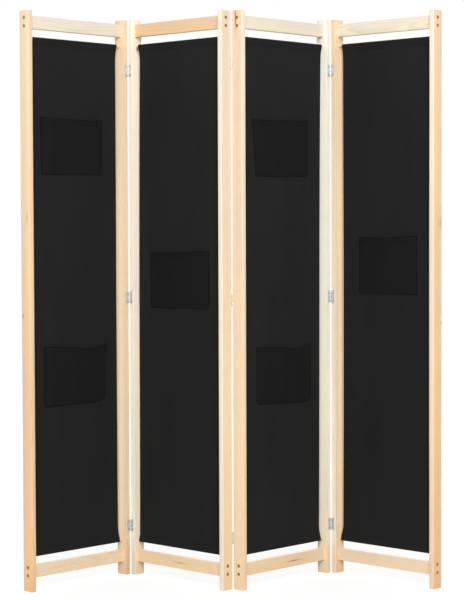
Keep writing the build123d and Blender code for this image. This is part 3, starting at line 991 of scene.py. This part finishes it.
# %% Edges of a cloth
# Half widths in mm: hem end below, then the straight edge at four heights, hem end above.
EDGE_HEIGHTS = np.array((166, 540, 1090, 1560)) * mm
EDGES = {
    (1, LEFT): (172, 168, 167, 167, 168, 171),
    (1, RIGHT): (171.5, 167, 165.8, 165.8, 166, 169),
    (2, LEFT): (180, 180, 178, 176, 170, 174),
    (2, RIGHT): (173, 169, 168, 168, 169, 174),
    (3, LEFT): (173, 169, 168, 168, 169, 173),
    (3, RIGHT): (172, 167, 170, 173, 178, 180),
    (4, LEFT): (175, 168, 167, 167, 167.5, 169),
    (4, RIGHT): (174, 169, 168, 168, 169, 172),
}
FLARE = 30 * mm


def edge(number, side, z):
    """Distance of a cloth's edge from the middle of its panel: a smooth curve through the four
    heights, which opens to the hem's end by the square of the share of the flare still to go."""
    hem_low, *straight, hem_high = np.array(EDGES[number, side]) * mm
    inner = np.polyval(np.polyfit(EDGE_HEIGHTS, straight, 3), np.clip(z, *SEAMS))
    low, high = SEAMS
    near_low = np.clip(1 - (z - low) / FLARE, 0, 1) ** 2
    near_high = np.clip(1 - (high - z) / FLARE, 0, 1) ** 2
    return inner + (hem_low - inner) * near_low + (hem_high - inner) * near_high


half_way = np.mean(SEAMS)
widths = [sum(edge(number, side, half_way) for side in SIDES) / mm for number in PANELS]
print("half way up, the cloths are", np.round(widths), "mm wide")

# %% Path of a cloth
# Places of a hem in mm, (y, z) from the axis of its rod
LOOP_RADIUS = 4.7
SEAM_BEHIND = (0.75, 17.5)
LOOSE_END = (0.75, 20.5)


def hem_path():
    """Half loop of a hem, from its loose end behind the seam round the rod to the seam in
    front: (y, z) from the rod's axis. Both straight parts touch the circle, at the angle of
    the seam from the axis -/+ acos(circle's radius / distance of the seam)."""
    seam = np.array((0, HEM_DEPTH / mm))
    start = atan2(*SEAM_BEHIND[::-1]) - acos(LOOP_RADIUS / np.hypot(*SEAM_BEHIND))
    end = pi / 2 + acos(LOOP_RADIUS / seam[1]) - 2 * pi
    angles = np.linspace(start, end, 18)
    circle = LOOP_RADIUS * stacked(np.cos(angles), np.sin(angles))
    line = circle[-1] + np.array((0.3, 0.6, 0.85))[:, None] * (seam - circle[-1])
    return np.vstack((LOOSE_END, SEAM_BEHIND, circle, line)) * mm


def cloth_path():
    """Whole path of a cloth, (y, z): bottom hem, straight part, top hem turned over. The rows
    of the straight part stand closer near the two seams."""
    low_hem = hem_path() + (0, low_rod)
    high_hem = hem_path()[::-1] * (1, -1) + (0, high_rod)
    closer = np.array((0, 4, 10, 18, 30)) * mm
    low, high = SEAMS
    even = np.linspace(low + 45 * mm, high - 45 * mm, 70)
    z = np.concatenate((low + closer, even, high - closer[::-1]))
    return np.vstack((low_hem, stacked(0, z), high_hem))


path = cloth_path()
lengths = np.concatenate(((0,), np.cumsum(np.hypot(*np.diff(path, axis=0).T))))
print("a cloth is cut", round(lengths[-1], 3), "m long")

# %% Cloths
TURN_BACK = 7 * mm
SIDE_SEAM = 5.5 * mm
CLOTH_THICKNESS = 0.6 * mm
LAYER = 0.66 * mm  # from the middle of one layer of cloth to the middle of the next


def cloth(number):
    """Main grid: rows on the path, columns from edge to edge with more of them near the edges.
    Side grids: each edge goes out and back in a half circle and is turned back behind."""
    y, z = path.T[:, :, None]
    left, right = -edge(number, LEFT, z), edge(number, RIGHT, z)
    near, inset = np.array((0, 1.5, 5.5, 14)) * mm, 24 * mm
    inner = left + inset + (right - left - 2 * inset) * np.linspace(0, 1, 40)
    x = np.hstack((left + near, inner, right - near[::-1]))
    hem_rows = len(hem_path())
    seams = lengths[[1, hem_rows, -hem_rows - 1, -2]]
    to_seam = np.abs(lengths[:, None] - seams).min(axis=1)[:, None]
    straight = (z > SEAMS[0] + 3 * mm) & (z < SEAMS[1] - 3 * mm) & (np.abs(y) < 0.1 * mm)
    to_edge = np.minimum(np.abs(x - left - SIDE_SEAM), np.abs(right - x - SIDE_SEAM))
    stitch = np.minimum(to_seam, np.where(straight, to_edge, 1.0))
    # Distance to the nearest edge, which sets the painted shade there
    rim = np.minimum(np.minimum(x - left, right - x), np.minimum(z - z.min(), z.max() - z))
    points = stacked(x, y + folds(number, x, z), z)
    grids = [(points, stacked(x, lengths[:, None]), stitch, rim)]

    rows = straight[:, 0]
    half = np.linspace(0, pi, 6)
    out = np.concatenate((LAYER / 2 * np.sin(half), (-1.5 * mm, -SIDE_SEAM, -TURN_BACK)))
    behind = np.concatenate((LAYER / 2 * (1 - np.cos(half)), (LAYER, LAYER, LAYER)))
    for side, at in ((LEFT, left[rows]), (RIGHT, right[rows])):
        x = at + side * out
        points = stacked(x, folds(number, x, z[rows]) + behind, z[rows])
        flat = stacked(at - side * out, lengths[rows][:, None])
        grids.append((points, flat, np.abs(out + SIDE_SEAM), np.abs(x - at)))
    mesh = make_sheet(f"sewn_panel_{number}_cloth", *grids, thickness=CLOTH_THICKNESS)
    nodes = f"panel_{number}_cloth", f"panel_{number}_hems"
    piece = add_piece(mesh, number, cloth_black, "cloth", *nodes, crisp=60)
    width = float((right - left).max()) + 2 * TURN_BACK
    return piece, (width, float(lengths[-1]))


cloths = {number: cloth(number) for number in PANELS}
for number, (piece, flat) in cloths.items():
    print(piece.name, "cut", np.round(flat, 3), "m,", len(piece.data.polygons), "faces")

# %% [markdown]
# ## Pockets
# A patch pocket is a rectangle of cloth sewn down along three sides. Its mouth has a folded
# hem, and it hangs slack, so it stands off the cloth a few millimetres in the middle. No two
# hang alike: one has a wavy mouth with an ear at its corner, others have rounded low corners.
# Each pocket is a grid whose rows go from the bottom seam to the mouth and over it, and a
# formula for the slack lifts it off the cloth.

# %% How the pockets hang
POCKET_THICKNESS = 0.6 * mm
POCKET_SEAM = 2.5 * mm
MOUTH_HEM = 12 * mm
# For each pocket, in mm: radii of its low corners left and right, slack, strength of its
# folds, how far its left and right edges lie off those of its node (foot, mouth), and how far
# its bottom and its mouth do, at five places from left to right
POCKETS = {
    "panel_1_upper_pocket": (
        (4, 10), 3.6, 0.5, (-1, -3), (-2, 0), (0, 0, 1, 2, 3), (3, -1.5, -1.5, -3, -1),
    ),
    "panel_1_lower_pocket": (
        (14, 28), 4.4, 0.9, (-5, -5), (0, 3), (-8, -6, -5, -5, -4), (5, 1, -5, -8, 5),
    ),
    "panel_2_pocket": (
        (3, 3), 3.8, 0.6, (-6, -7), (1, 1), (-2, -2, -2, -1, -1), (-1, -3, -2, 1, 2),
    ),
    "panel_3_upper_pocket": (
        (4, 9), 3.8, 0.6, (7, -8), (0, 0), (-3, -2, -2, -1, 1), (0, -3, -1, -1, 2),
    ),
    "panel_3_lower_pocket": (
        (15, 15), 4.8, 1.5, (0, 0), (3, 3), (-2, -2, -4, -6, -5), (3, -1, -5, -7, 7),
    ),
    "panel_4_pocket": (
        (3, 3), 3.6, 0.6, (9, 9), (-8, -9), (-2, -1, -1, -1, -3), (0, -1, -1, 2, 5),
    ),
}
print(len(POCKETS), "pockets to sew")

# %% Outline of a pocket
def pocket_outline(node, low, high):
    """Heights h over the bottom, places u across from -1 to 1, and x and z on their grid. Half
    width = half the node's, less r - sqrt(r^2 - (r - h)^2) in a low corner of radius r. The
    bottom and the mouth are then bent by curves through the five places."""
    radii, _, _, left_off, right_off, foot_off, mouth_off = POCKETS[node]
    tall, half_width = high[2] - low[2], (high - low)[0] / 2
    h = np.concatenate((np.array((0, 0.4, 1.2, 2.5, 4, 6, 9, 12, 16, 21, 28)) * mm,
                        np.linspace(36 * mm, tall - 20 * mm, 26),
                        tall - np.array((14, 12, 9, 5, 2, 0.6, 0)) * mm))[:, None]
    u = np.sin(np.linspace(-1, 1, 63) * 0.43 * pi) / sin(0.43 * pi)
    at_seam = np.array((1, 2)) * POCKET_SEAM / half_width
    u = np.sort(np.concatenate((u[1:-1], (-1, 1), at_seam - 1, 1 - at_seam)))
    share = h / tall
    edges = []
    for side, radius, off in zip(SIDES, np.array(radii) * mm, (left_off, right_off)):
        half = half_width - radius + np.sqrt(radius**2 - np.maximum(radius - h, 0) ** 2)
        slant = mm * (off[0] + np.diff(off) * share)
        edges.append((low + high)[0] / 2 + side * half + slant)
    left, right = edges
    foot, mouth = (
        np.polyval(np.polyfit((-1, -0.5, 0, 0.5, 1), np.array(off) * mm, 4), u)
        for off in (foot_off, mouth_off)
    )
    z = low[2] + h + foot * (1 - share) + mouth * share
    return h, u, left + (right - left) * (u + 1) / 2, z


h, u, *_ = pocket_outline("panel_2_pocket", *panel_box(2, "panel_2_pocket"))
print("a pocket is a grid of", len(h), "by", len(u), "points")

# %% Pockets
def pocket(node):
    """Off the cloth by the slack times how far a point is from the sewn sides, times a rise
    from the bottom to the mouth, and a few ripples. The hem at the mouth is one layer thicker,
    and its last rows are turned in behind the ones before them."""
    number = int(node.split("_")[1])
    slack, strength = POCKETS[node][1:3]
    low, high = panel_box(number, node)
    tall = high[2] - low[2]
    h, u, x, z = pocket_outline(node, low, high)
    share = h / tall
    off_side = np.minimum(x - x[:, :1], x[:, -1:] - x)
    off_seam = np.minimum(off_side, h)
    across = smooth((off_side - POCKET_SEAM) / (34 * mm))
    rise = smooth((h - POCKET_SEAM) / (25 * mm)) * (0.55 + 0.45 * smooth((share - 0.3) / 0.7))
    draw = np.random.default_rng(int(low[2] / mm) + number)
    ripples = sum(
        draw.uniform(0.25, 0.6)
        * np.sin(2 * pi * (u / wide + draw.uniform(-0.5, 0.5) * share + draw.uniform()))
        for wide in (0.33, 0.52, 0.8)
    )
    off = slack * mm * across * rise + strength * 0.5 * mm * ripples * across * smooth(share * 3)
    doubled = smooth((h - tall + 16 * mm) / (3 * mm))
    y = folds(number, x, z) - LAYER * (1 + doubled) - np.maximum(off, 0)

    back = [-1, -2, -3, -4, -5, -6]
    turn = np.array((0, 0.5, 0.9, 1, 1, 1))[:, None, None] * (0, LAYER, 0)
    points = stacked(x, y, z)
    points = np.concatenate((points, points[back] + turn))
    flat = stacked(x, low[2] + h)
    flat = np.concatenate((flat, flat[back] * (1, -1) + (0, 2 * high[2])))
    stitch = np.minimum(np.abs(off_seam - POCKET_SEAM), np.abs(tall - h - MOUTH_HEM))
    # Distance to the nearest edge, which sets the painted shade there
    rim = np.minimum(off_seam, tall - h)
    stitch, rim = (np.concatenate((grid, grid[back])) for grid in (stitch, rim))
    mesh = make_sheet(f"sewn_{node}", (points, flat, stitch, rim), thickness=POCKET_THICKNESS)
    piece = add_piece(mesh, number, pocket_black, "pocket_cloth", node, crisp=60)
    return piece


pockets = [pocket(node) for node in POCKETS]
print(len(pockets), "pockets,", sum(len(p.data.polygons) for p in pockets), "faces")

print("four cloths stretched on their rods")
